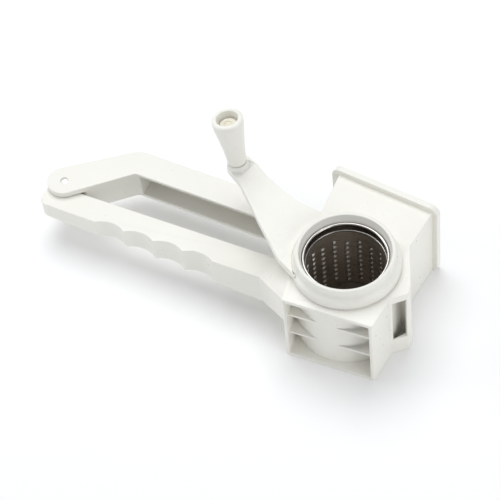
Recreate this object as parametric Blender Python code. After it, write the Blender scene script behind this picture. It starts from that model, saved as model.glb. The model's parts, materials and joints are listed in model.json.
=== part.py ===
"""Rotary cheese grater, in metres, +Z up.

The grater lies on the flat underside of its head, with the drum's axis upright.
The origin is the point where the drum's axis meets that underside.
+X runs from the hinge of the two handles to the head, and +Y from the drum to the hopper's mouth.
"""

import math

import bmesh
import bpy
from mathutils import Matrix, Vector

# ---- Clearances
TOUCH_GAP = 0.0003          # between pieces that touch
RUN_GAP = 0.0004            # between pieces that turn in each other
SLIDE_GAP = 0.0010          # between the press arm and the hopper slot

# ---- Head
HEAD_HEIGHT = 0.055         # underside to top plate
WALL = 0.0025
HEAD_FRONT_LEFT = (-0.0240, -0.0383)
HEAD_FRONT_RIGHT = (0.0330, -0.0344)
SIDE_WALL_END = (0.0340, -0.0120)
SIDE_WINDOW_END = (0.0420, -0.0040)
SIDE_CORNER = (0.0410, 0.0020)
HOPPER_RIGHT_START = (0.0285, 0.0280)
HOPPER_RIGHT_END = (0.0300, 0.0590)
HOPPER_LEFT_END = (-0.0347, 0.0640)
HOPPER_LEFT_START = (-0.0315, 0.0300)
HEAD_LEFT_MIDDLE = (-0.0305, -0.0050)
HOPPER_FLOOR_Y = 0.0080     # where the hopper opens into the drum's sleeve
RIB_COUNT = 2
RIB_THICKNESS = 0.0018
RIB_SETBACK = 0.0041        # ribs' front edges behind the front face
WINDOW_SILL = 0.0140
WINDOW_LINTEL = 0.0030      # below the top plate's underside

# ---- Mouth flange
FLANGE_LEFT = (-0.0394, 0.0660)
FLANGE_RIGHT = (0.0338, 0.0602)
FLANGE_THICKNESS = 0.0040
FLANGE_RISE = 0.0038        # above the top plate
FLANGE_CORNER = 0.0060
FLANGE_FOOT_CORNER = 0.0035

# ---- Drum
DRUM_RADIUS = 0.0250
SHEET = 0.0008
DRUM_FLOOR = 0.0058         # underside of the drum's end disc
DRUM_RIM = HEAD_HEIGHT + 0.0090   # top edge of the steel
COLLAR_HEIGHT = 0.0070
RIM_RADIUS = DRUM_RADIUS + 0.0010
RIM_HEIGHT = 0.0016
RIM_BREAK = 0.0004          # small bevel of the rim's edges
AXLE_RADIUS = 0.0040
AXLE_HEAD_RADIUS = 0.0075
AXLE_HEAD = 0.0014
SLEEVE_WALL = 0.0022
NECK_BORE = DRUM_RADIUS + 0.0015
NECK_RADIUS = NECK_BORE + SLEEVE_WALL
NECK_HEIGHT = 0.0040        # neck above the top plate
SLEEVE_RADIUS = NECK_RADIUS + 0.0043    # the wider wall round the drum, inside the head
SLEEVE_BITE = 0.0010        # where the sleeve stops inside the head's left wall
PLATE_BITE = 0.0005         # how far joined walls run into the plates
BOSS_WALL = 0.0022
BOSS_HEIGHT = 0.0028

# ---- Crank
CRANK_ANGLE = math.radians(160.7)
CRANK_LENGTH = 0.0918
SKIRT_RADIUS = NECK_RADIUS + 0.0041
HUB_BITE = 0.0006           # how far the arm runs into the hub's skirt
SKIRT_HEIGHT = 0.0055
RING_RADIUS = RIM_RADIUS + 0.0040
RING_TOP = DRUM_RIM + 0.0050
RING_MOUTH_RADIUS = RIM_RADIUS + 0.0016
ARM_THICKNESS = 0.0050
ARM_RISE = 0.0110           # from the ring to the knob
ARM_END_RADIUS = 0.0092
ARM_END_NEAR = 0.0068       # the arm's half width at the knob, on the handles' side
ARM_BOSS_HEIGHT = 0.0030

# ---- Knob
KNOB_LENGTH = 0.0355
KNOB_LEAN = math.radians(8.0)     # outwards, away from the drum
KNOB_TOP_RADIUS = 0.0097
KNOB_BASE_RADIUS = 0.0058
KNOB_CUP_RADIUS = 0.0066
KNOB_CUP_DEPTH = 0.0064
KNOB_PIN_RADIUS = 0.0022
KNOB_PIN_HEAD_RADIUS = 0.0052
KNOB_PIN_HEAD = 0.0016

# ---- Handles
MID_HEIGHT = 0.0280         # height of the handles' middle plane
HINGE = (-0.1980, 0.0)
TONGUE_DEPTH = 0.0120       # the lower handle at its hinge
HANDLE_DEPTH = 0.0240       # the lower handle at the head
TONGUE_END_X = -0.1820
HANDLE_END_X = -0.0480
HANDLE_NEAR_Y = -0.0190
HANDLE_FAR_Y = -0.0020
TONGUE_RADIUS = 0.0092
GRIP_COUNT = 4
GRIP_START_X = -0.1650
GRIP_PITCH = 0.0208
GRIP_DEPTH = 0.0032
CHANNEL_WALL = 0.0022       # walls of the handles, which are open channels towards each other
CHANNEL_START_X = -0.1560
CHANNEL_END_X = -0.0560
LEVER_CHANNEL_END_X = -0.0400
CHANNEL_RUNOUT = 0.0020     # how far a channel's cutter passes the open side

LEVER_DEPTH = 0.0210
LEVER_EYE_RADIUS = 0.0108
LEVER_NEAR_Y = 0.0230
LEVER_FAR_Y = 0.0410
LEVER_OUTER_BEND = (-0.1650, 0.0410)
LEVER_INNER_BEND = (-0.1590, 0.0230)
PIN_RADIUS = 0.0014
PIN_HEAD_RADIUS = 0.0021
PIN_HEAD = 0.0008

# ---- Press head
PRESS_LEFT_X = -0.0195
PRESS_RIGHT_X = 0.0225
PRESS_CLEARANCE = 0.0018    # to the drum when the handles are closed
PRESS_BACK_Y = 0.0400
TANG_DEPTH = 0.0120
TANG_WIDTH = 0.0090
TANG_LENGTH = 0.0120

# ---- Facets
ROUND = 64
SMALL_ROUND = 32

SKIRT_BOTTOM = HEAD_HEIGHT + RUN_GAP
NECK_TOP = HEAD_HEIGHT + NECK_HEIGHT
KNOB_CENTRE = (CRANK_LENGTH * math.cos(CRANK_ANGLE), CRANK_LENGTH * math.sin(CRANK_ANGLE))


# ---- Materials and objects
def material(name, colour, roughness, metallic):
    made = bpy.data.materials.new(name)
    made.use_nodes = True
    shader = made.node_tree.nodes["Principled BSDF"]
    shader.inputs["Base Color"].default_value = (*colour, 1.0)
    shader.inputs["Roughness"].default_value = roughness
    shader.inputs["Metallic"].default_value = metallic
    return made


def make_object(name, bm, mat=None, origin=(0.0, 0.0, 0.0)):
    """An object at `origin` from a bmesh built in world coordinates."""
    bmesh.ops.recalc_face_normals(bm, faces=bm.faces)
    bmesh.ops.translate(bm, verts=bm.verts, vec=-Vector(origin))
    mesh = bpy.data.meshes.new(name)
    bm.to_mesh(mesh)
    bm.free()
    mesh.shade_smooth()
    mesh.set_sharp_from_angle(angle=math.radians(35.0))
    obj = bpy.data.objects.new(name, mesh)
    obj.location = origin
    if mat:
        mesh.materials.append(mat)
    bpy.context.scene.collection.objects.link(obj)
    return obj


def tool(name, bm):
    """A hidden object that another one is cut or joined with."""
    obj = make_object(name, bm)
    obj.hide_render = True
    obj.display_type = "WIRE"
    return obj


def combine(obj, other, operation):
    step = obj.modifiers.new(other.name, "BOOLEAN")
    step.operation = operation
    step.solver = "EXACT"
    step.object = other


def cut(obj, name, bm):
    combine(obj, tool(name, bm), "DIFFERENCE")


def join(obj, name, bm):
    combine(obj, tool(name, bm), "UNION")


# ---- Outlines and solids
def arc(centre, radius, start, end, steps):
    """Points on an arc, in degrees, with both its ends."""
    angles = [math.radians(start + (end - start) * i / steps) for i in range(steps + 1)]
    return [(centre[0] + radius * math.cos(a), centre[1] + radius * math.sin(a)) for a in angles]


def rounded(points, radius, steps=5):
    """The closed outline through `points` with each corner rounded."""
    outline = []
    for i, corner in enumerate(points):
        here = Vector(corner)
        back = (Vector(points[i - 1]) - here).normalized()
        ahead = (Vector(points[(i + 1) % len(points)]) - here).normalized()
        half = back.angle(ahead) / 2
        centre = here + (back + ahead).normalized() * radius / math.sin(half)
        first = here + back * radius / math.tan(half) - centre
        last = here + ahead * radius / math.tan(half) - centre
        for k in range(steps + 1):
            spoke = first.lerp(last, k / steps).normalized() * radius
            outline.append(tuple(centre + spoke))
    return outline


def prism(outline, low, high):
    bm = bmesh.new()
    face = bm.faces.new([bm.verts.new((x, y, low)) for x, y in outline])
    made = bmesh.ops.extrude_face_region(bm, geom=[face])
    tops = [v for v in made["geom"] if isinstance(v, bmesh.types.BMVert)]
    bmesh.ops.translate(bm, verts=tops, vec=(0.0, 0.0, high - low))
    bmesh.ops.recalc_face_normals(bm, faces=bm.faces)
    return bm


def turned(profile, centre=(0.0, 0.0), steps=ROUND):
    """A solid of revolution about an upright axis; the profile is a closed loop of (radius, height)."""
    bm = bmesh.new()
    verts = [bm.verts.new((centre[0] + r, centre[1], z)) for r, z in profile]
    loop = [bm.edges.new((verts[i - 1], verts[i])) for i in range(len(verts))]
    bmesh.ops.spin(bm, geom=verts + loop, cent=(*centre, 0.0), axis=(0.0, 0.0, 1.0),
                   angle=2 * math.pi, steps=steps, use_merge=True)
    bmesh.ops.remove_doubles(bm, verts=bm.verts, dist=1e-7)
    bare = [e for e in bm.edges if not e.link_faces]
    bmesh.ops.delete(bm, geom=bare, context="EDGES")
    bmesh.ops.recalc_face_normals(bm, faces=bm.faces)
    return bm


def rod(radius, low, high, centre=(0.0, 0.0), steps=SMALL_ROUND):
    return prism(arc(centre, radius, 0.0, 360.0 * (steps - 1) / steps, steps - 1), low, high)


def hull(points):
    bm = bmesh.new()
    for point in points:
        bm.verts.new(point)
    made = bmesh.ops.convex_hull(bm, input=bm.verts)
    loose = [g for g in made["geom_interior"] if isinstance(g, bmesh.types.BMVert)]
    bmesh.ops.delete(bm, geom=loose, context="VERTS")
    return bm


def shifted(point, x=0.0, y=0.0):
    return (point[0] + x, point[1] + y)


# ---- Housing: head, hopper and lower handle, one moulding
def handle_outline():
    """Plan of the lower handle, with finger hollows on its near side."""
    far = [(HANDLE_END_X, HANDLE_FAR_Y), (HINGE[0] + TONGUE_RADIUS, HANDLE_FAR_Y)]
    eye = arc(HINGE, TONGUE_RADIUS, 0.0, 180.0, 14)
    heel_radius = 0.006
    heel = arc((HINGE[0] - TONGUE_RADIUS + heel_radius, HANDLE_NEAR_Y + heel_radius), heel_radius, 180.0, 270.0, 5)
    near = []
    radius = (GRIP_PITCH ** 2 / 4 + GRIP_DEPTH ** 2) / (2 * GRIP_DEPTH)
    spread = math.degrees(math.asin(GRIP_PITCH / 2 / radius))
    for i in range(GRIP_COUNT):
        middle = (GRIP_START_X + GRIP_PITCH * (i + 0.5), HANDLE_NEAR_Y + GRIP_DEPTH - radius)
        near += arc(middle, radius, 90.0 + spread, 90.0 - spread, 6)[:-1]
    near.append((GRIP_START_X + GRIP_PITCH * GRIP_COUNT, HANDLE_NEAR_Y))
    return far + eye[1:] + heel + near + [(HANDLE_END_X, HANDLE_NEAR_Y)]


def handle_half_depth(x):
    share = min(max((x - TONGUE_END_X) / (HANDLE_END_X - TONGUE_END_X), 0.0), 1.0)
    return (TONGUE_DEPTH + (HANDLE_DEPTH - TONGUE_DEPTH) * share) / 2


def lower_handle():
    bm = prism(handle_outline(), -1.0, 1.0)
    bmesh.ops.bisect_plane(bm, geom=bm.verts[:] + bm.edges[:] + bm.faces[:],
                           plane_co=(TONGUE_END_X, 0.0, 0.0), plane_no=(1.0, 0.0, 0.0))
    for vert in bm.verts:
        vert.co.z = MID_HEIGHT + vert.co.z * handle_half_depth(vert.co.x)
    return bm


def handle_channel():
    """The hollow of the lower handle, open towards the lever."""
    floor_y = HANDLE_NEAR_Y + GRIP_DEPTH + CHANNEL_WALL
    bm = prism([(CHANNEL_START_X, floor_y), (CHANNEL_END_X, floor_y),
                (CHANNEL_END_X, HANDLE_FAR_Y + CHANNEL_RUNOUT), (CHANNEL_START_X, HANDLE_FAR_Y + CHANNEL_RUNOUT)],
               -1.0, 1.0)
    for vert in bm.verts:
        vert.co.z = MID_HEIGHT + vert.co.z * (handle_half_depth(vert.co.x) - CHANNEL_WALL)
    return bm


def gusset():
    """The flare that joins the lower handle to the head."""
    half = HANDLE_DEPTH / 2
    inside = 0.0020
    inset = 0.0004
    end_half = handle_half_depth(HANDLE_END_X - inside) - inset
    handle_end = [(HANDLE_END_X - inside, y, MID_HEIGHT + side * end_half)
                  for y in (HANDLE_NEAR_Y + inset, HANDLE_FAR_Y - inset) for side in (-1.0, 1.0)]
    corner = shifted(HEAD_FRONT_LEFT, inside, 0.0)
    root_far = shifted(HEAD_LEFT_MIDDLE, inside, 0.0)
    head_side = [(*corner, HEAD_HEIGHT - 0.021), (*corner, HEAD_HEIGHT),
                 (*root_far, MID_HEIGHT - half), (*root_far, HEAD_HEIGHT)]
    return hull(handle_end + head_side)


def head_outline():
    corners = [HEAD_FRONT_LEFT, HEAD_FRONT_RIGHT, SIDE_WALL_END, SIDE_WINDOW_END, SIDE_CORNER,
               HOPPER_RIGHT_START, HOPPER_RIGHT_END, HOPPER_LEFT_END, HOPPER_LEFT_START, HEAD_LEFT_MIDDLE]
    return rounded(corners, 0.0012, 2)


def inside_left_wall(y):
    """The point at `y` on the inner face of the front box's left wall."""
    share = (y - HEAD_FRONT_LEFT[1]) / (HEAD_LEFT_MIDDLE[1] - HEAD_FRONT_LEFT[1])
    return (HEAD_FRONT_LEFT[0] + (HEAD_LEFT_MIDDLE[0] - HEAD_FRONT_LEFT[0]) * share + WALL, y)


def front_bay_outline():
    """The hollow in front of the sleeve, open at the front face."""
    front = HEAD_FRONT_LEFT[1] - 0.010
    return [inside_left_wall(front), (HEAD_FRONT_RIGHT[0] - WALL, front),
            shifted(HEAD_FRONT_RIGHT, -WALL, RIB_SETBACK), inside_left_wall(HEAD_FRONT_LEFT[1] + RIB_SETBACK)]


def corner_bay_outline():
    """The hollow beside the sleeve, behind the front bay."""
    overlap = 0.0001
    return [inside_left_wall(HEAD_FRONT_LEFT[1] + RIB_SETBACK - overlap),
            shifted(HEAD_FRONT_RIGHT, -WALL, RIB_SETBACK - overlap),
            shifted(SIDE_WALL_END, -WALL), inside_left_wall(SIDE_WALL_END[1])]


def inside_shoulder(y):
    """The point at `y` on the inner face of the slanted wall behind the side window."""
    share = (y - SIDE_CORNER[1]) / (HOPPER_RIGHT_START[1] - SIDE_CORNER[1])
    return (SIDE_CORNER[0] + (HOPPER_RIGHT_START[0] - SIDE_CORNER[0]) * share - WALL * 1.1, y)


def side_bay_outline():
    """The hollow behind the side window; a wall parts it from the hopper."""
    back = HOPPER_FLOOR_Y - WALL
    return [shifted(SIDE_WALL_END, -WALL, -0.0001), shifted(SIDE_WALL_END, -0.0010, 0.0),
            shifted(SIDE_WINDOW_END, -WALL, 0.0012), shifted(SIDE_CORNER, -WALL, 0.0),
            inside_shoulder(back), (0.0, back), (0.0, 0.0)]


def hopper_outline():
    beyond = 0.030
    return [(HEAD_LEFT_MIDDLE[0] + WALL + 0.0010, HOPPER_FLOOR_Y), inside_shoulder(HOPPER_FLOOR_Y),
            shifted(HOPPER_RIGHT_START, -WALL), shifted(HOPPER_RIGHT_END, -WALL),
            shifted(HOPPER_RIGHT_END, -WALL, beyond), shifted(HOPPER_LEFT_END, WALL, beyond),
            shifted(HOPPER_LEFT_END, WALL), shifted(HOPPER_LEFT_START, WALL)]


def sleeve_point(degrees, inwards):
    """A point `inwards` of the sleeve's outside, which keeps within the head's left wall."""
    turn = math.radians(degrees)
    way = Vector((math.cos(turn), math.sin(turn)))
    reach = SLEEVE_RADIUS
    for start, end in ((HEAD_FRONT_LEFT, HEAD_LEFT_MIDDLE), (HEAD_LEFT_MIDDLE, HOPPER_LEFT_START)):
        along = (Vector(end) - Vector(start)).normalized()
        out = Vector((-along.y, along.x))
        if way.dot(out) > 0.1:
            reach = min(reach, (Vector(start).dot(out) - SLEEVE_BITE) / way.dot(out))
    return tuple(way * (reach - inwards))


def sleeve_solid():
    """The wall round the drum, open towards the hopper."""
    low = WALL - PLATE_BITE
    high = HEAD_HEIGHT - WALL + PLATE_BITE
    lip = math.degrees(math.asin(HOPPER_FLOOR_Y / NECK_BORE))
    turns = [lip - (180.0 + 2 * lip) * i / 44 for i in range(45)]
    outline = [sleeve_point(turn, 0.0) for turn in turns]
    outline += [sleeve_point(turn, SLEEVE_WALL) for turn in reversed(turns)]
    return prism(outline, low, high)


def drum_space():
    """Room for the drum, up to the middle of the sleeve's wall."""
    outline = [sleeve_point(360.0 * i / ROUND, SLEEVE_WALL / 2) for i in range(ROUND)]
    return prism(outline, WALL, HEAD_HEIGHT - WALL)


def flange_solid():
    left = Vector(FLANGE_LEFT)
    along = (Vector(FLANGE_RIGHT) - left)
    length = along.length
    high = HEAD_HEIGHT + FLANGE_RISE
    corner = FLANGE_CORNER
    foot = FLANGE_FOOT_CORNER
    outline = arc((foot, foot), foot, 180.0, 270.0, 4) + arc((length - foot, foot), foot, 270.0, 360.0, 4)
    outline += arc((length - corner, high - corner), corner, 0.0, 90.0, 6)
    outline += arc((corner, high - corner), corner, 90.0, 180.0, 6)
    bm = prism(outline, 0.0, FLANGE_THICKNESS)
    turn = Matrix.Rotation(along.angle_signed(Vector((1.0, 0.0))), 4, "Z")
    stand = Matrix(((1, 0, 0, 0), (0, 0, -1, 0), (0, 1, 0, 0), (0, 0, 0, 1)))
    bmesh.ops.transform(bm, matrix=Matrix.Translation((*left, 0.0)) @ turn @ stand, verts=bm.verts)
    return bm


def window_cutter():
    reach = 0.012
    out = Vector((1.0, -1.0)).normalized() * reach
    near = Vector(SIDE_WALL_END) + Vector((0.0010, 0.0010))
    far = Vector(SIDE_WINDOW_END) - Vector((0.0010, 0.0010))
    inset = Vector((-0.0040, 0.0040))
    outline = [tuple(near + inset), tuple(near + out), tuple(far + out), tuple(far + inset)]
    return prism(outline, WINDOW_SILL, HEAD_HEIGHT - WALL - WINDOW_LINTEL)


def lever_slot():
    half = LEVER_DEPTH / 2 + SLIDE_GAP
    outside, inside = HOPPER_LEFT_END[0] - 0.0133, HOPPER_LEFT_END[0] + 0.0087
    near, beyond = LEVER_NEAR_Y - 0.0015, HOPPER_LEFT_END[1] + 0.0260
    return prism([(outside, near), (inside, near), (inside, beyond), (outside, beyond)],
                 MID_HEIGHT - half, MID_HEIGHT + half)


def make_housing(plastic):
    housing = make_object("housing", prism(head_outline(), 0.0, HEAD_HEIGHT), plastic)
    join(housing, "flange", flange_solid())
    join(housing, "gusset", gusset())
    join(housing, "lower_handle", lower_handle())
    cut(housing, "handle_channel", handle_channel())
    join(housing, "sleeve_neck", rod(NECK_RADIUS, HEAD_HEIGHT - PLATE_BITE, NECK_TOP, steps=ROUND))
    inner_low = WALL
    inner_high = HEAD_HEIGHT - WALL
    cut(housing, "front_bay", prism(front_bay_outline(), inner_low, inner_high))
    tier = (inner_high - inner_low - RIB_COUNT * RIB_THICKNESS) / (RIB_COUNT + 1)
    for i in range(RIB_COUNT + 1):
        low = inner_low + i * (tier + RIB_THICKNESS)
        cut(housing, "corner_bay_%d" % i, prism(corner_bay_outline(), low, low + tier))
    cut(housing, "side_bay", prism(side_bay_outline(), inner_low, inner_high))
    cut(housing, "side_window", window_cutter())
    cut(housing, "hopper_hollow", prism(hopper_outline(), inner_low, inner_high))
    cut(housing, "lever_slot", lever_slot())
    cut(housing, "drum_space", drum_space())
    join(housing, "sleeve", sleeve_solid())
    cut(housing, "neck_bore", rod(NECK_BORE, inner_high - PLATE_BITE, NECK_TOP + PLATE_BITE, steps=ROUND))
    socket = AXLE_RADIUS + RUN_GAP
    join(housing, "axle_boss", turned([(socket, WALL - PLATE_BITE), (socket + BOSS_WALL, WALL - PLATE_BITE),
                                       (socket + BOSS_WALL, WALL + BOSS_HEIGHT), (socket, WALL + BOSS_HEIGHT)],
                                      steps=SMALL_ROUND))
    cut(housing, "hinge_hole", rod(PIN_RADIUS + TOUCH_GAP, 0.0, HEAD_HEIGHT, HINGE, 24))
    return housing


# ---- Drum
def make_drum(steel, plastic):
    inner = DRUM_RADIUS - SHEET
    shoulder = DRUM_RIM - COLLAR_HEIGHT
    disc_top = DRUM_FLOOR + SHEET
    make_object("drum_collar", turned([(inner, shoulder), (DRUM_RADIUS, shoulder), (DRUM_RADIUS, DRUM_RIM - RIM_HEIGHT),
                                       (RIM_RADIUS, DRUM_RIM - RIM_HEIGHT), (RIM_RADIUS, DRUM_RIM - RIM_BREAK),
                                       (RIM_RADIUS - RIM_BREAK, DRUM_RIM), (inner + RIM_BREAK, DRUM_RIM),
                                       (inner, DRUM_RIM - RIM_BREAK)]), steel)
    make_object("drum_screen", turned([(inner, disc_top + TOUCH_GAP), (DRUM_RADIUS, disc_top + TOUCH_GAP),
                                       (DRUM_RADIUS, shoulder - TOUCH_GAP), (inner, shoulder - TOUCH_GAP)]), steel)
    hole = AXLE_RADIUS + TOUCH_GAP
    make_object("drum_end_disc", turned([(hole, DRUM_FLOOR), (DRUM_RADIUS, DRUM_FLOOR), (DRUM_RADIUS, disc_top),
                                         (hole, disc_top)]), steel)
    head_low = disc_top + TOUCH_GAP
    foot = WALL + TOUCH_GAP
    make_object("drum_axle", turned([(0.0, foot), (AXLE_RADIUS, foot), (AXLE_RADIUS, head_low),
                                     (AXLE_HEAD_RADIUS, head_low), (AXLE_HEAD_RADIUS - 0.0005, head_low + AXLE_HEAD),
                                     (0.0, head_low + AXLE_HEAD)], steps=SMALL_ROUND), plastic)


# ---- Crank and knob
def along_crank(distance, aside):
    """A plan point from its distance along the crank and its offset towards the hopper."""
    direction = Vector((math.cos(CRANK_ANGLE), math.sin(CRANK_ANGLE)))
    across = Vector((direction.y, -direction.x))
    return tuple(direction * distance + across * aside)


def arm_outline():
    hub = SKIRT_RADIUS - HUB_BITE
    hopper_side = [(0.014, hub * 0.90), (0.022, 0.0250), (0.034, 0.0148), (0.047, 0.0095), (0.060, 0.0072),
                   (0.074, 0.0072), (0.084, 0.0086)]
    turns = [math.pi * i / 10 for i in range(11)]
    end = [(CRANK_LENGTH + ARM_END_NEAR * math.sin(turn),
            math.cos(turn) * (ARM_END_RADIUS if turn < math.pi / 2 else ARM_END_NEAR)) for turn in turns]
    handle_side = [(0.080, -0.0092), (0.055, -0.0185), (0.040, -0.0236), (0.029, -0.0276), (0.012, -hub * 0.93)]
    return [along_crank(along, aside) for along, aside in hopper_side + end + handle_side + [(0.0, 0.0)]]


def crank_arm_solid(low, high):
    """The flat arm, which climbs from the hub to the knob."""
    bm = prism(arm_outline(), low, high)
    direction = Vector((*KNOB_CENTRE, 0.0)).normalized()
    reach = CRANK_LENGTH - ARM_END_RADIUS
    for distance in (SKIRT_RADIUS, reach):
        bmesh.ops.bisect_plane(bm, geom=bm.verts[:] + bm.edges[:] + bm.faces[:],
                               plane_co=direction * distance, plane_no=direction)
    for vert in bm.verts:
        share = (vert.co.dot(direction) - SKIRT_RADIUS) / (reach - SKIRT_RADIUS)
        vert.co.z += ARM_RISE * min(max(share, 0.0), 1.0)
    return bm


def leaning(bm, foot):
    """Tips a shape about the foot of the knob, away from the drum."""
    pivot = Vector((*KNOB_CENTRE, foot))
    sideways = Vector((-math.sin(CRANK_ANGLE), math.cos(CRANK_ANGLE), 0.0))
    bmesh.ops.rotate(bm, cent=pivot, matrix=Matrix.Rotation(KNOB_LEAN, 3, sideways), verts=bm.verts)
    return bm


def make_crank(plastic):
    bore = RIM_RADIUS + TOUCH_GAP
    seat = DRUM_RIM - RIM_HEIGHT - TOUCH_GAP
    throat = DRUM_RADIUS + TOUCH_GAP
    skirt_bore = NECK_RADIUS + RUN_GAP
    step = NECK_TOP + RUN_GAP
    skirt_top = SKIRT_BOTTOM + SKIRT_HEIGHT
    ring = turned([(throat, step), (skirt_bore, step), (skirt_bore, SKIRT_BOTTOM), (SKIRT_RADIUS, SKIRT_BOTTOM),
                   (SKIRT_RADIUS, skirt_top), (SKIRT_RADIUS - 0.0012, skirt_top + 0.0012),
                   (RING_RADIUS, skirt_top + 0.0030), (RING_RADIUS, RING_TOP - 0.0008),
                   (RING_RADIUS - 0.0008, RING_TOP), (RING_MOUTH_RADIUS + 0.0004, RING_TOP),
                   (RING_MOUTH_RADIUS, RING_TOP - 0.0004), (bore, DRUM_RIM + 0.0008), (bore, seat), (throat, seat)])
    crank = make_object("crank_arm", ring, plastic)
    arm_low = skirt_top - 0.0035
    arm = tool("arm_plate", crank_arm_solid(arm_low, arm_low + ARM_THICKNESS))
    core = rod(SKIRT_RADIUS - HUB_BITE * 1.5, SKIRT_BOTTOM - 0.002, RING_TOP + 0.002, steps=ROUND)
    combine(arm, tool("hub_core", core), "DIFFERENCE")
    combine(crank, arm, "UNION")
    boss_low = arm_low + ARM_RISE
    boss_high = boss_low + ARM_THICKNESS + ARM_BOSS_HEIGHT
    boss = rod(KNOB_BASE_RADIUS + 0.0008, boss_low + 0.001, boss_high, KNOB_CENTRE)
    join(crank, "arm_boss", leaning(boss, boss_high))
    hole = rod(KNOB_PIN_RADIUS + TOUCH_GAP, boss_low - 0.01, boss_high + 0.01, KNOB_CENTRE, 24)
    cut(crank, "knob_pin_hole", leaning(hole, boss_high))
    return boss_low, boss_high


def make_knob(plastic, pin_plastic, boss_low, boss_high):
    low = boss_high + TOUCH_GAP
    top = low + KNOB_LENGTH
    hole = KNOB_PIN_RADIUS + RUN_GAP
    cup_floor = top - KNOB_CUP_DEPTH
    knob = turned([(hole, low), (KNOB_BASE_RADIUS - 0.0006, low), (KNOB_BASE_RADIUS, low + 0.0006),
                   (KNOB_TOP_RADIUS - 0.0006, top - 0.0080), (KNOB_TOP_RADIUS, top - 0.0030),
                   (KNOB_TOP_RADIUS - 0.0010, top - 0.0006), (KNOB_TOP_RADIUS - 0.0018, top),
                   (KNOB_CUP_RADIUS + 0.0005, top), (KNOB_CUP_RADIUS, top - 0.0006),
                   (KNOB_CUP_RADIUS - 0.0005, cup_floor), (hole, cup_floor)], KNOB_CENTRE, 48)
    make_object("knob", leaning(knob, boss_high), plastic, (*KNOB_CENTRE, boss_high))
    head_low = cup_floor + TOUCH_GAP
    head_high = head_low + KNOB_PIN_HEAD
    foot = boss_low + 0.0004
    pin = turned([(0.0, foot), (KNOB_PIN_RADIUS, foot), (KNOB_PIN_RADIUS, head_low),
                  (KNOB_PIN_HEAD_RADIUS, head_low), (KNOB_PIN_HEAD_RADIUS, head_high - 0.0005),
                  (KNOB_PIN_HEAD_RADIUS - 0.0005, head_high), (0.0, head_high)], KNOB_CENTRE, 24)
    make_object("knob_pin", leaning(pin, boss_high), pin_plastic)


# ---- Lever, its press head and the hinge pin
def lever_outline():
    eye = arc(HINGE, LEVER_EYE_RADIUS, 130.0, 310.0, 18)
    inner = rounded([eye[-1], LEVER_INNER_BEND, (PRESS_LEFT_X, LEVER_NEAR_Y)], 0.0040, 4)
    outer_bend = arc((LEVER_OUTER_BEND[0] + 0.004, LEVER_OUTER_BEND[1] - 0.012), 0.012, 90.0, 132.0, 5)
    end_x = PRESS_LEFT_X - TOUCH_GAP
    return eye + inner[5:10] + [(end_x, LEVER_NEAR_Y), (end_x, LEVER_FAR_Y)] + outer_bend


def make_lever(plastic, steel):
    half = LEVER_DEPTH / 2
    lever = make_object("lever_arm", prism(lever_outline(), MID_HEIGHT - half, MID_HEIGHT + half), plastic, (*HINGE, 0.0))
    fork = TONGUE_DEPTH / 2 + RUN_GAP
    fork_radius = TONGUE_RADIUS + 0.0035
    reach = 0.040
    cut(lever, "fork", prism([(HINGE[0] - fork_radius, HINGE[1] - reach), (HINGE[0] + reach, HINGE[1] - reach),
                              (HINGE[0] + reach, HINGE[1])] + arc(HINGE, fork_radius, 0.0, 180.0, 16),
                             MID_HEIGHT - fork, MID_HEIGHT + fork))
    hollow = half - CHANNEL_WALL
    channel_floor = LEVER_FAR_Y - CHANNEL_WALL
    open_side = LEVER_NEAR_Y - CHANNEL_RUNOUT
    cut(lever, "lever_channel", prism([(CHANNEL_START_X, open_side), (LEVER_CHANNEL_END_X, open_side),
                                       (LEVER_CHANNEL_END_X, channel_floor), (CHANNEL_START_X, channel_floor)],
                                      MID_HEIGHT - hollow, MID_HEIGHT + hollow))
    seat = PIN_HEAD + TOUCH_GAP
    hole = PIN_RADIUS + TOUCH_GAP
    wide = PIN_HEAD_RADIUS + TOUCH_GAP
    low, high = MID_HEIGHT - half, MID_HEIGHT + half
    cut(lever, "hinge_pin_bore", turned([(0.0, 0.0), (wide, 0.0), (wide, low + seat), (hole, low + seat),
                                         (hole, high - seat), (wide, high - seat), (wide, HEAD_HEIGHT),
                                         (0.0, HEAD_HEIGHT)], HINGE, 24))
    middle = (LEVER_NEAR_Y + LEVER_FAR_Y) / 2
    tang = TANG_WIDTH / 2 + TOUCH_GAP
    depth = TANG_DEPTH / 2 + TOUCH_GAP
    inner_end = PRESS_LEFT_X - TANG_LENGTH - TOUCH_GAP
    cut(lever, "tang_socket", prism([(inner_end, middle - tang), (PRESS_LEFT_X + 0.001, middle - tang),
                                     (PRESS_LEFT_X + 0.001, middle + tang), (inner_end, middle + tang)],
                                    MID_HEIGHT - depth, MID_HEIGHT + depth))
    make_object("hinge_pin", turned([(0.0, low), (PIN_HEAD_RADIUS, low), (PIN_HEAD_RADIUS, low + PIN_HEAD),
                                     (PIN_RADIUS, low + PIN_HEAD), (PIN_RADIUS, high - PIN_HEAD),
                                     (PIN_HEAD_RADIUS, high - PIN_HEAD), (PIN_HEAD_RADIUS, high), (0.0, high)],
                                    HINGE, 24), steel, (*HINGE, 0.0))


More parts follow.
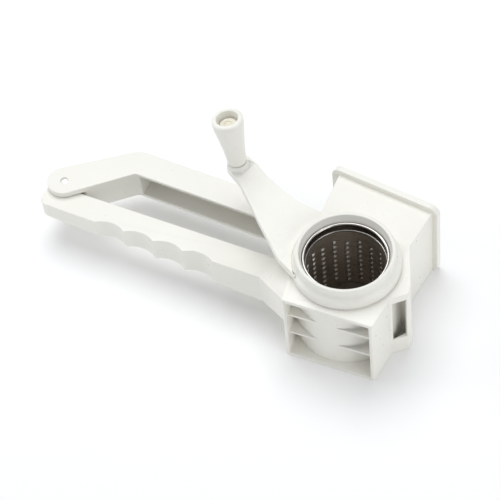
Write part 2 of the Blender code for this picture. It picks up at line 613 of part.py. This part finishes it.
def make_press_head(plastic):
    face = DRUM_RADIUS + PRESS_CLEARANCE
    low = WALL + SLIDE_GAP
    high = HEAD_HEIGHT - WALL - SLIDE_GAP
    start = math.degrees(math.acos(PRESS_RIGHT_X / face))
    end = math.degrees(math.acos(PRESS_LEFT_X / face))
    outline = arc((0.0, 0.0), face, start, end, 20) + [(PRESS_LEFT_X, PRESS_BACK_Y), (PRESS_RIGHT_X, PRESS_BACK_Y)]
    press = make_object("press_head", prism(outline, low, high), plastic, (*HINGE, 0.0))
    deep = face + CHANNEL_WALL
    left, right = PRESS_LEFT_X + CHANNEL_WALL, PRESS_RIGHT_X - CHANNEL_WALL
    hollow = arc((0.0, 0.0), deep, math.degrees(math.acos(right / deep)), math.degrees(math.acos(left / deep)), 14)
    hollow += [(left, PRESS_BACK_Y + 0.001), (right, PRESS_BACK_Y + 0.001)]
    for start_z, end_z in ((low + CHANNEL_WALL, MID_HEIGHT - CHANNEL_WALL / 2),
                           (MID_HEIGHT + CHANNEL_WALL / 2, high - CHANNEL_WALL)):
        cut(press, "press_hollow", prism(hollow, start_z, end_z))
    middle = (LEVER_NEAR_Y + LEVER_FAR_Y) / 2
    join(press, "tang", prism([(PRESS_LEFT_X - TANG_LENGTH, middle - TANG_WIDTH / 2),
                               (PRESS_LEFT_X + 0.001, middle - TANG_WIDTH / 2),
                               (PRESS_LEFT_X + 0.001, middle + TANG_WIDTH / 2),
                               (PRESS_LEFT_X - TANG_LENGTH, middle + TANG_WIDTH / 2)],
                              MID_HEIGHT - TANG_DEPTH / 2, MID_HEIGHT + TANG_DEPTH / 2))


for old in list(bpy.data.objects):
    bpy.data.objects.remove(old, do_unlink=True)

WHITE = (0.86, 0.86, 0.85)
IVORY = (0.82, 0.80, 0.70)
STEEL = (0.60, 0.58, 0.55)

make_housing(material("housing_plastic", WHITE, 0.35, 0.0))
make_drum(material("drum_steel", STEEL, 0.25, 1.0), material("axle_plastic", WHITE, 0.4, 0.0))
BOSS_LOW, BOSS_HIGH = make_crank(material("crank_plastic", WHITE, 0.35, 0.0))
make_knob(material("knob_plastic", WHITE, 0.3, 0.0), material("pin_plastic", IVORY, 0.4, 0.0), BOSS_LOW, BOSS_HIGH)
make_lever(material("lever_plastic", WHITE, 0.35, 0.0), material("hinge_steel", STEEL, 0.3, 1.0))
make_press_head(material("press_plastic", WHITE, 0.4, 0.0))
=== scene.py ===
"""The finished look of the rotary cheese grater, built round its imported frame.

Everything is in metres, +Z up, in the frame of the solids: the drum's axis is upright through the origin.
"""

import json
import math

import bmesh
import bpy
from mathutils import Matrix, Vector


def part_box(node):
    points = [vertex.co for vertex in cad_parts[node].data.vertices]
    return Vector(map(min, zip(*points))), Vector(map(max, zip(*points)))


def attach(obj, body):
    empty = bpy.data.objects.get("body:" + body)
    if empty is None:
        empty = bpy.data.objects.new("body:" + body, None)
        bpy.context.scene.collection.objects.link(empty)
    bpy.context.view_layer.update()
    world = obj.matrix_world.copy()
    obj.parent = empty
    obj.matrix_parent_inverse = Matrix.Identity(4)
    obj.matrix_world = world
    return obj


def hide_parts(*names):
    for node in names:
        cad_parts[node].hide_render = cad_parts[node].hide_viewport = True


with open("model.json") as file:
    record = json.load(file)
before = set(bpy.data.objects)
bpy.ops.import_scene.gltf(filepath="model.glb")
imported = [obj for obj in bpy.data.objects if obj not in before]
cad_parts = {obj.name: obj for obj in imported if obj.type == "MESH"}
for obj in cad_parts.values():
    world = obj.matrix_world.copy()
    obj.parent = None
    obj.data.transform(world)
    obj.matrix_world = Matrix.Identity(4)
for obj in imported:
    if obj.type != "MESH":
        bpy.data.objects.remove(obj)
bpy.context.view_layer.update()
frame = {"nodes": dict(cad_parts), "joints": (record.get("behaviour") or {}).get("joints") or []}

# ---- Sizes of the fine work
MERGE = 1e-6
HAIR = 0.0001               # margin when a face is told by its place
SHARP = math.radians(28.0)  # edges that are rounded
FLAT = math.radians(0.5)    # facets that are one flat face
FINE_TURN = 128             # steps round a large turned piece
SMALL_TURN = 64
FLOOR_HALF = 4.0

# ---- Places read from the frame
COLLAR_LOW, COLLAR_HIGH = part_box("drum_collar")
SCREEN_LOW, SCREEN_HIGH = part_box("drum_screen")
DISC_LOW, DISC_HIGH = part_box("drum_end_disc")
HINGE_PIN_LOW, HINGE_PIN_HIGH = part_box("hinge_pin")
JOINTS = {joint["name"]: joint for joint in frame["joints"]}
KNOB_FOOT = Vector(JOINTS["knob_spin"]["pos_m"])
KNOB_AXIS = Vector(JOINTS["knob_spin"]["axis"])
RIM_RADIUS = (COLLAR_HIGH.x - COLLAR_LOW.x) / 2
DRUM_RADIUS = (SCREEN_HIGH.x - SCREEN_LOW.x) / 2
SHEET = DISC_HIGH.z - DISC_LOW.z
BORE_RADIUS = DRUM_RADIUS - SHEET


# ---- Camera, light and floor
def make_camera():
    """A long lens that looks down on the open end of the drum, over the front box."""
    azimuth = math.radians(33.0)
    elevation = math.radians(51.66)
    roll = math.radians(-7.09)
    distance = 1.1544
    aim_aside = 0.05607
    aim_up = 0.00371
    back = Vector((math.sin(azimuth) * math.cos(elevation), -math.cos(azimuth) * math.cos(elevation),
                   math.sin(elevation)))
    level = Vector((math.cos(azimuth), math.sin(azimuth), 0.0))
    rise = back.cross(level)
    right = level * math.cos(roll) + rise * math.sin(roll)
    up = rise * math.cos(roll) - level * math.sin(roll)
    rim_centre = Vector((0.0, 0.0, COLLAR_HIGH.z))
    aim = rim_centre - right * aim_aside + up * aim_up
    lens = bpy.data.cameras.new("camera")
    lens.lens = 141.75
    lens.sensor_width = 36.0
    lens.clip_start = 0.01
    camera = bpy.data.objects.new("camera", lens)
    stance = Matrix((right, up, back)).transposed().to_4x4()
    camera.matrix_world = Matrix.Translation(aim + back * distance) @ stance
    bpy.context.scene.collection.objects.link(camera)
    bpy.context.scene.camera = camera


def make_light(name, place, aim, size, watts, colour=(0.97, 0.985, 1.0)):
    light = bpy.data.lights.new(name, "AREA")
    light.shape = "DISK"
    light.size = size
    light.energy = watts
    light.color = colour
    lamp = bpy.data.objects.new(name, light)
    lamp.location = place
    lamp.rotation_euler = (Vector(aim) - Vector(place)).to_track_quat("-Z", "Y").to_euler()
    bpy.context.scene.collection.objects.link(lamp)


def make_studio():
    head = (-0.03, 0.0, 0.03)
    make_light("top_light", (-0.35, 0.35, 1.20), head, 1.0, 8.5)
    make_light("left_light", (-1.10, -0.35, 0.45), head, 0.7, 2.6)
    make_light("right_light", (1.00, -0.25, 0.45), head, 0.7, 3.2)
    world = bpy.data.worlds.new("studio")
    bpy.context.scene.world = world
    world.use_nodes = True
    sky = world.node_tree.nodes["Background"]
    sky.inputs["Color"].default_value = (0.965, 0.98, 1.0, 1.0)
    sky.inputs["Strength"].default_value = 0.50
    bpy.context.scene.view_settings.view_transform = "Standard"

    bm = bmesh.new()
    bmesh.ops.create_grid(bm, x_segments=1, y_segments=1, size=FLOOR_HALF)
    floor = finished("studio_floor", bm, [floor_finish()])


# ---- Materials
def new_finish(name, colour, roughness, metallic=0.0):
    made = bpy.data.materials.new(name)
    made.use_nodes = True
    shader = made.node_tree.nodes["Principled BSDF"]
    shader.inputs["Base Color"].default_value = (*colour, 1.0)
    shader.inputs["Roughness"].default_value = roughness
    shader.inputs["Metallic"].default_value = metallic
    return made, made.node_tree, shader


def floor_finish():
    made, tree, shader = new_finish("studio_paper", (0.98, 0.98, 0.98), 0.9)
    shader.inputs["Specular IOR Level"].default_value = 0.1
    return made


def pattern(tree, scale, detail=3.0, stretch=(1.0, 1.0, 1.0)):
    """Noise in the piece's own place, stretched along its axes."""
    place = tree.nodes.new("ShaderNodeTexCoord")
    mapping = tree.nodes.new("ShaderNodeMapping")
    mapping.inputs["Scale"].default_value = stretch
    noise = tree.nodes.new("ShaderNodeTexNoise")
    noise.inputs["Scale"].default_value = scale
    noise.inputs["Detail"].default_value = detail
    tree.links.new(place.outputs["Object"], mapping.inputs["Vector"])
    tree.links.new(mapping.outputs["Vector"], noise.inputs["Vector"])
    return noise.outputs["Fac"]


def spread(tree, value, low, high, start=0.3, end=0.7):
    """A pattern's value mapped to the range from `low` to `high`."""
    ranged = tree.nodes.new("ShaderNodeMapRange")
    ranged.inputs["From Min"].default_value = start
    ranged.inputs["From Max"].default_value = end
    ranged.inputs["To Min"].default_value = low
    ranged.inputs["To Max"].default_value = high
    tree.links.new(value, ranged.inputs["Value"])
    return ranged.outputs["Result"]


def blended(tree, value, first, second):
    mix = tree.nodes.new("ShaderNodeMix")
    mix.data_type = "RGBA"
    mix.inputs["A"].default_value = (*first, 1.0)
    mix.inputs["B"].default_value = (*second, 1.0)
    tree.links.new(value, mix.inputs["Factor"])
    return mix.outputs["Result"]


def relief(tree, shader, value, depth, strength=1.0):
    bump = tree.nodes.new("ShaderNodeBump")
    bump.inputs["Distance"].default_value = depth
    bump.inputs["Strength"].default_value = strength
    tree.links.new(value, bump.inputs["Height"])
    tree.links.new(bump.outputs["Normal"], shader.inputs["Normal"])


def white_moulding_finish():
    """Satin white moulding: slow waves of sink, a fine skin texture and faint handling marks."""
    made, tree, shader = new_finish("white_moulding", (0.86, 0.85, 0.81), 0.32)
    cloud = spread(tree, pattern(tree, 28.0), 0.0, 1.0)
    tint = blended(tree, cloud, (0.872, 0.858, 0.800), (0.858, 0.842, 0.776))
    tree.links.new(tint, shader.inputs["Base Color"])
    marks = pattern(tree, 210.0, 4.0)
    tree.links.new(spread(tree, marks, 0.27, 0.40), shader.inputs["Roughness"])
    relief(tree, shader, pattern(tree, 500.0, 2.0), 0.00001, 0.25)
    return made


def cup_shade_finish():
    """Unpolished moulding for the knob's pin, tinted tan as painted shade for the bottom of the knob's cup.
    """
    made, tree, shader = new_finish("painted_cup_shade", (0.80, 0.76, 0.64), 0.45)
    tint = blended(tree, spread(tree, pattern(tree, 300.0), 0.0, 1.0), (0.82, 0.79, 0.68), (0.77, 0.72, 0.58))
    tree.links.new(tint, shader.inputs["Base Color"])
    relief(tree, shader, pattern(tree, 2200.0, 2.0), 0.00001, 0.5)
    return made


def shaded_bore_finish(name, dark, light, metallic):
    """The inner face of the rolled sheet, darkened as painted shade and painted dark reflection, with faint
    drawing lines round the drum.
    """
    made, tree, shader = new_finish(name, dark, 0.30, metallic)
    lines = pattern(tree, 240.0, 4.0, (0.6, 0.6, 9.0))
    tree.links.new(blended(tree, spread(tree, lines, 0.0, 1.0), dark, light), shader.inputs["Base Color"])
    tree.links.new(spread(tree, lines, 0.24, 0.40), shader.inputs["Roughness"])
    relief(tree, shader, lines, 0.00002, 0.4)
    return made


def teeth_highlight_finish():
    """The scoops of the teeth: painted near white as a painted highlight, slightly matt where the punch drew
    the sheet.
    """
    made, tree, shader = new_finish("teeth_highlight_steel", (0.95, 0.93, 0.86), 0.36, 0.35)
    grain = pattern(tree, 900.0, 3.0)
    tree.links.new(spread(tree, grain, 0.28, 0.44), shader.inputs["Roughness"])
    relief(tree, shader, grain, 0.00002, 0.4)
    return made


def bright_steel_finish():
    """Polished stainless: the rim and the bead."""
    made, tree, shader = new_finish("bright_steel", (0.54, 0.52, 0.49), 0.18, 1.0)
    lines = pattern(tree, 420.0, 3.0, (1.0, 1.0, 3.0))
    tree.links.new(spread(tree, lines, 0.13, 0.26), shader.inputs["Roughness"])
    relief(tree, shader, lines, 0.00001, 0.25)
    return made


def drum_skin_finish():
    """The outer face of the drum, brushed round its axis."""
    made, tree, shader = new_finish("drum_skin_steel", (0.56, 0.54, 0.51), 0.28, 1.0)
    lines = pattern(tree, 260.0, 4.0, (0.5, 0.5, 12.0))
    tree.links.new(spread(tree, lines, 0.20, 0.38), shader.inputs["Roughness"])
    relief(tree, shader, lines, 0.00002, 0.35)
    return made


def pin_finish():
    """Turned pin steel with fine rings."""
    made, tree, shader = new_finish("pin_steel", (0.86, 0.85, 0.83), 0.34, 0.8)
    rings = pattern(tree, 900.0, 2.0, (1.0, 1.0, 4.0))
    tree.links.new(spread(tree, rings, 0.28, 0.44), shader.inputs["Roughness"])
    relief(tree, shader, rings, 0.00001, 0.3)
    return made


# ---- Shapes
def finished(name, bm, finishes, degrees=30.0):
    """An object at the origin, shaded smooth up to its sharp edges."""
    mesh = bpy.data.meshes.new(name)
    bm.to_mesh(mesh)
    bm.free()
    for finish in finishes:
        mesh.materials.append(finish)
    mesh.shade_smooth()
    mesh.set_sharp_from_angle(angle=math.radians(degrees))
    piece = bpy.data.objects.new(name, mesh)
    bpy.context.scene.collection.objects.link(piece)
    return piece


def turned(profile, centre=(0.0, 0.0), steps=FINE_TURN):
    """A closed turned solid from a closed loop of (radius, height)."""
    bm = bmesh.new()
    verts = [bm.verts.new((centre[0] + r, centre[1], z)) for r, z in profile]
    loop = [bm.edges.new((verts[i - 1], verts[i])) for i in range(len(verts))]
    bmesh.ops.spin(bm, geom=verts + loop, cent=(*centre, 0.0), axis=(0.0, 0.0, 1.0),
                   angle=2 * math.pi, steps=steps, use_merge=True)
    bmesh.ops.remove_doubles(bm, verts=bm.verts, dist=1e-7)
    bare = [edge for edge in bm.edges if not edge.link_faces]
    bmesh.ops.delete(bm, geom=bare, context="EDGES")
    bmesh.ops.recalc_face_normals(bm, faces=bm.faces)
    return bm


def curve(centre, radius, start, end, steps=6):
    """Profile points on an arc, in degrees, with both its ends."""
    turns = [math.radians(start + (end - start) * i / steps) for i in range(steps + 1)]
    return [(centre[0] + radius * math.cos(turn), centre[1] + radius * math.sin(turn)) for turn in turns]


def rounded_copy(node, name, finish, radius, segments=3):
    """A copy of a solid with its facets merged and its outer edges rounded."""
    bm = bmesh.new()
    bm.from_mesh(frame["nodes"][node].data)
    bmesh.ops.remove_doubles(bm, verts=bm.verts, dist=MERGE)
    bmesh.ops.join_triangles(bm, faces=bm.faces, angle_face_threshold=FLAT,
                             angle_shape_threshold=math.radians(60.0))
    sharp = [e for e in bm.edges if e.is_manifold and e.is_convex and e.calc_face_angle() > SHARP]
    bmesh.ops.bevel(bm, geom=sharp, offset=radius, segments=segments, profile=0.5, affect="EDGES",
                    clamp_overlap=False, loop_slide=False, material=-1)
    bmesh.ops.remove_doubles(bm, verts=bm.verts, dist=MERGE)
    piece = finished(name, bm, [finish], 40.0)
    flat = piece.modifiers.new("flat_faces", "WEIGHTED_NORMAL")
    flat.keep_sharp = True
    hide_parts(node)
    return piece


def assign(piece, body):
    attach(piece, body)
    return piece


# ---- White mouldings
def make_mouldings(finish):
    assign(rounded_copy("housing", "housing_moulding", finish, 0.0005), "housing")
    assign(rounded_copy("lever_arm", "lever_moulding", finish, 0.0005), "lever")
    assign(rounded_copy("press_head", "press_moulding", finish, 0.0005), "lever")
    assign(rounded_copy("crank_arm", "crank_moulding", finish, 0.0006), "crank")
    assign(rounded_copy("drum_axle", "axle_moulding", finish, 0.0002), "crank")


# ---- Knob and pins: radii, and heights above the knob's foot
KNOB_PLAY = 0.0003          # between the arm's boss and the knob
KNOB_FOOT_RADIUS = 0.0050
KNOB_TOP_RADIUS = 0.0097
KNOB_TOP = 0.0358
CUP_FLOOR = 0.0294
KNOB_HOLE = 0.0026
FOOT_ROUND = 0.0008
OUTER_LIP = 0.0019
INNER_LIP = 0.0008
PIN_SHANK = 0.0022
PIN_FOOT = -0.0076
PIN_FOOT_BREAK = 0.0004
PIN_HEAD = 0.0052
PIN_HEAD_LOW = 0.0297
PIN_HEAD_HIGH = 0.0313
PIN_HEAD_ROUND = 0.0006
PIN_DISH = 0.0006


def on_knob_axis(bm):
    """Puts a shape that was turned about the upright axis onto the knob's own axis."""
    lean = Vector((0.0, 0.0, 1.0)).rotation_difference(KNOB_AXIS).to_matrix().to_4x4()
    bmesh.ops.transform(bm, matrix=Matrix.Translation(KNOB_FOOT) @ lean, verts=bm.verts)
    return bm


def make_knob(finish):
    """The tapered knob, with a rounded lip round its cup."""
    foot = [(KNOB_HOLE, KNOB_PLAY), (KNOB_FOOT_RADIUS, KNOB_PLAY)]
    foot += curve((KNOB_FOOT_RADIUS, KNOB_PLAY + FOOT_ROUND), FOOT_ROUND, -60.0, -5.0, 4)
    side = [(0.0062, 0.0060), (0.0067, 0.0110), (0.0073, 0.0160), (0.0080, 0.0210), (0.0088, 0.0260),
            (0.0094, 0.0300), (KNOB_TOP_RADIUS, 0.0325)]
    lip = curve((KNOB_TOP_RADIUS - OUTER_LIP, KNOB_TOP - OUTER_LIP), OUTER_LIP, 15.0, 90.0, 8)[:-1]
    lip += curve((0.0074, KNOB_TOP - INNER_LIP), INNER_LIP, 90.0, 180.0, 5)
    cup = [(0.0063, CUP_FLOOR + 0.0012), (0.0060, CUP_FLOOR + 0.0004), (0.0055, CUP_FLOOR),
           (KNOB_HOLE, CUP_FLOOR)]
    bm = on_knob_axis(turned(foot + side + lip + cup, steps=SMALL_TURN))
    piece = finished("knob_moulding", bm, [finish], 40.0)
    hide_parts("knob")
    return assign(piece, "knob")


def make_knob_pin(finish):
    """The wide rivet in the knob's cup, with a dished head, tinted tan as painted shade."""
    shank = [(0.0, PIN_FOOT), (PIN_SHANK - PIN_FOOT_BREAK, PIN_FOOT), (PIN_SHANK, PIN_FOOT + PIN_FOOT_BREAK),
             (PIN_SHANK, PIN_HEAD_LOW)]
    head = [(PIN_HEAD - 0.0002, PIN_HEAD_LOW)]
    head += curve((PIN_HEAD - PIN_HEAD_ROUND, PIN_HEAD_HIGH - PIN_HEAD_ROUND), PIN_HEAD_ROUND, 0.0, 90.0, 6)
    dish = [(0.0026, PIN_HEAD_HIGH), (0.0022, PIN_HEAD_HIGH - 0.0005), (0.0, PIN_HEAD_HIGH - PIN_DISH)]
    bm = on_knob_axis(turned(shank + head + dish, steps=SMALL_TURN))
    piece = finished("knob_rivet", bm, [finish], 40.0)
    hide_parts("knob_pin")
    return assign(piece, "crank")


def make_hinge_pin(finish):
    """The steel pin of the handles' hinge, with a low dome on each end."""
    middle = (HINGE_PIN_LOW + HINGE_PIN_HIGH) / 2
    low, high = HINGE_PIN_LOW.z, HINGE_PIN_HIGH.z
    spread_head = 0.0002    # the head is swaged out into its seat
    head = (HINGE_PIN_HIGH.x - HINGE_PIN_LOW.x) / 2 + spread_head
    shank, rise, dome = head * 0.66, 0.0008, 0.0004
    lower = [(0.0, low), (head * 0.6, low + dome * 0.3), (head, low + dome), (head, low + rise),
             (shank, low + rise)]
    upper = [(radius, low + high - z) for radius, z in reversed(lower)]
    piece = finished("hinge_rivet", turned(lower + upper, (middle.x, middle.y), SMALL_TURN), [finish], 40.0)
    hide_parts("hinge_pin")
    return assign(piece, "housing")


# ---- Drum
CREASE = 0.3                # share of a normal that tells a face's side
TOOTH_COLUMNS = 20
TOOTH_ROWS = 9
TOOTH_PITCH = 0.0044
TOOTH_HALF_WIDTH = 0.0024   # along the drum's turn, on the raised side
TOOTH_MOUTH = 0.0011        # along the drum's turn, on the open side
TOOTH_HALF_HEIGHT = 0.0016
TOOTH_RISE = 0.0012
TOOTH_TOP = 0.0140          # below the drum's rim, where the teeth start
SCREEN_SHEET = 0.0005
ACROSS = 6                  # faces across one column
AROUND_TOOTH = 2 * (ACROSS + 2)


def flat_patch(bm, left, width, low, high):
    """One strip of plain sheet, before the sheet is rolled."""
    if high - low < MERGE:
        return
    made = bmesh.ops.create_grid(bm, x_segments=ACROSS, y_segments=1, size=0.5)
    bmesh.ops.scale(bm, vec=(width, high - low, 1.0), verts=made["verts"])
    bmesh.ops.translate(bm, vec=(left + width / 2, (low + high) / 2, 0.0), verts=made["verts"])


def tooth_cell(width, height):
    """A rectangle of sheet with one punched scoop, which opens to one side."""
    bm = bmesh.new()
    made = bmesh.ops.create_grid(bm, x_segments=ACROSS, y_segments=2, size=0.5)
    bmesh.ops.scale(bm, vec=(width, height, 1.0), verts=made["verts"])
    inner = [v for v in bm.verts if not v.is_boundary]
    bmesh.ops.delete(bm, geom=inner, context="VERTS")
    edge_loop = bm.edges[:]
    ring = bmesh.ops.create_circle(bm, segments=AROUND_TOOTH, radius=1.0)["verts"]
    ring_edges = [e for e in bm.edges if e.verts[0] in ring and e.verts[1] in ring]
    bmesh.ops.scale(bm, vec=(TOOTH_HALF_WIDTH, TOOTH_HALF_HEIGHT, 1.0), verts=ring)
    for vert in ring:
        if vert.co.x < 0:
            vert.co.x *= TOOTH_MOUTH / TOOTH_HALF_WIDTH
    bmesh.ops.bridge_loops(bm, edges=edge_loop + ring_edges)
    scoop = bmesh.ops.contextual_create(bm, geom=ring_edges)["faces"]
    middle = bmesh.ops.poke(bm, faces=scoop)
    spokes = [e for e in bm.edges if middle["verts"][0] in e.verts]
    bmesh.ops.subdivide_edges(bm, edges=spokes, cuts=2, use_grid_fill=True)
    open_side = [f for f in bm.faces if f.calc_center_median().x < 0 and inside_tooth(f.calc_center_median())]
    bmesh.ops.delete(bm, geom=open_side, context="FACES")
    for vert in bm.verts:
        rise = 1.0 - (vert.co.x / TOOTH_HALF_WIDTH) ** 2 - (vert.co.y / TOOTH_HALF_HEIGHT) ** 2
        if rise > 0.0 and vert.co.x > -MERGE:
            vert.co.z = TOOTH_RISE * math.sqrt(rise)
    return bm


def inside_tooth(point):
    reach = TOOTH_MOUTH if point.x < 0 else TOOTH_HALF_WIDTH
    return (point.x / reach) ** 2 + (point.y / TOOTH_HALF_HEIGHT) ** 2 < 0.98


def make_screen(skin, shaded_bore, punched):
    """The drum's wall: columns of scoops, every second column half a pitch lower."""
    width = 2 * math.pi * DRUM_RADIUS / TOOTH_COLUMNS
    half = TOOTH_PITCH / 2
    top = COLLAR_HIGH.z - TOOTH_TOP
    bottom = top - TOOTH_ROWS * TOOTH_PITCH - half
    cell = bpy.data.meshes.new("tooth_cell")
    one_tooth = tooth_cell(width, TOOTH_PITCH)
    one_tooth.to_mesh(cell)
    one_tooth.free()
    bm = bmesh.new()
    for column in range(TOOTH_COLUMNS):
        left = column * width
        lowered = half * (column % 2)
        flat_patch(bm, left, width, top, SCREEN_HIGH.z)
        flat_patch(bm, left, width, top - lowered, top)
        for row in range(TOOTH_ROWS):
            before = len(bm.verts)
            bm.from_mesh(cell)
            bm.verts.ensure_lookup_table()
            middle = top - lowered - (row + 0.5) * TOOTH_PITCH
            bmesh.ops.translate(bm, vec=(left + width / 2, middle, 0.0), verts=bm.verts[before:])
        flat_patch(bm, left, width, bottom, bottom + half - lowered)
        flat_patch(bm, left, width, SCREEN_LOW.z, bottom)
    for vert in bm.verts:
        turn = -vert.co.x / DRUM_RADIUS
        reach = DRUM_RADIUS + vert.co.z
        vert.co = (reach * math.cos(turn), reach * math.sin(turn), vert.co.y)
    bmesh.ops.remove_doubles(bm, verts=bm.verts, dist=2 * MERGE)
    bmesh.ops.recalc_face_normals(bm, faces=bm.faces)
    if sum(f.normal.dot(f.calc_center_median() * Vector((1, 1, 0))) for f in bm.faces) < 0:
        bmesh.ops.reverse_faces(bm, faces=bm.faces)
    bmesh.ops.solidify(bm, geom=bm.faces, thickness=SCREEN_SHEET)
    # Inward faces of the sheet take the bore finish in painted shade; the scoops take the near-white painted
    # highlight.
    for face in bm.faces:
        centre = face.calc_center_median()
        reach = centre.xy.length
        face.material_index = 0
        if face.normal.xy.dot(centre.xy) < 0:
            face.material_index = 2 if reach > DRUM_RADIUS - SCREEN_SHEET + HAIR else 1
        # Outward scoop faces also take the near-white painted highlight.
        elif reach > DRUM_RADIUS + HAIR:
            face.material_index = 2
    piece = finished("drum_screen_sheet", bm, [skin, shaded_bore, punched], 50.0)
    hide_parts("drum_screen")
    return assign(piece, "crank")


def make_collar(skin, shaded_bore, bright):
    """The drum's plain neck, with a rolled rim at its top and a bead where it takes the screen."""
    low, high = COLLAR_LOW.z, COLLAR_HIGH.z
    roll = (RIM_RADIUS - BORE_RADIUS) / 2
    bead = 0.0005
    bead_z = low + 0.0012
    outer = [(BORE_RADIUS, low), (DRUM_RADIUS, low), (DRUM_RADIUS, high - 2 * roll)]
    rim = curve((RIM_RADIUS - roll, high - roll), roll, -80.0, 170.0, 14)
    inner = curve((BORE_RADIUS, bead_z), bead, 80.0, 280.0, 10)
    bm = turned(outer + rim + [(BORE_RADIUS, high - 2 * roll)] + inner)
    for face in bm.faces:
        centre = face.calc_center_median()
        reach = centre.xy.length
        # The neck's inner face takes the bore finish in near-black painted shade.
        face.material_index = 1 if reach < BORE_RADIUS + 4 * HAIR else 0
        if centre.z > high - 1.2 * roll or (reach < BORE_RADIUS - HAIR and centre.z < bead_z + bead):
            face.material_index = 2
    piece = finished("drum_collar_band", bm, [skin, shaded_bore, bright], 45.0)
    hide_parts("drum_collar")
    return assign(piece, "crank")


def make_end_disc(skin, shaded_bore):
    """The drum's closed end, with a pressed ring and a rolled edge."""
    low, high = DISC_LOW.z, DISC_HIGH.z
    hole = 0.0043
    press = 0.0005
    edge = (high - low) / 2
    steps = [(0.0105, 0.0), (0.0120, press), (0.0185, press), (0.0200, 0.0)]
    face = [(hole, high)] + [(radius, high + rise) for radius, rise in steps]
    back = [(radius, low + rise) for radius, rise in reversed(steps)] + [(hole, low)]
    bm = turned(face + curve((DRUM_RADIUS - edge, low + edge), edge, 90.0, -90.0, 8) + back)
    for side in bm.faces:
        # The disc's face inside the drum takes the bore finish in painted shade.
        side.material_index = 1 if side.normal.z > CREASE else 0
    piece = finished("drum_end_plate", bm, [skin, shaded_bore], 25.0)
    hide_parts("drum_end_disc")
    return assign(piece, "crank")


white = white_moulding_finish()
cup_shade_tan = cup_shade_finish()
bright_steel = bright_steel_finish()
# Dark brown painted shade and painted dark reflection, for the inside of the drum and its end disc.
drum_bore_shade = shaded_bore_finish("drum_bore_painted_shade", (0.28, 0.235, 0.19), (0.37, 0.32, 0.265), 0.45)
# Near-black painted shade and painted dark reflection, for the inside of the drum's neck.
neck_bore_shade = shaded_bore_finish("neck_bore_painted_shade", (0.13, 0.115, 0.10), (0.19, 0.17, 0.15), 1.0)
teeth_highlight_steel = teeth_highlight_finish()
drum_skin = drum_skin_finish()
pin_steel = pin_finish()

make_camera()
make_studio()
make_mouldings(white)
make_knob(white)
make_knob_pin(cup_shade_tan)
make_hinge_pin(pin_steel)
make_screen(drum_skin, drum_bore_shade, teeth_highlight_steel)
make_collar(drum_skin, neck_bore_shade, bright_steel)
make_end_disc(drum_skin, drum_bore_shade)
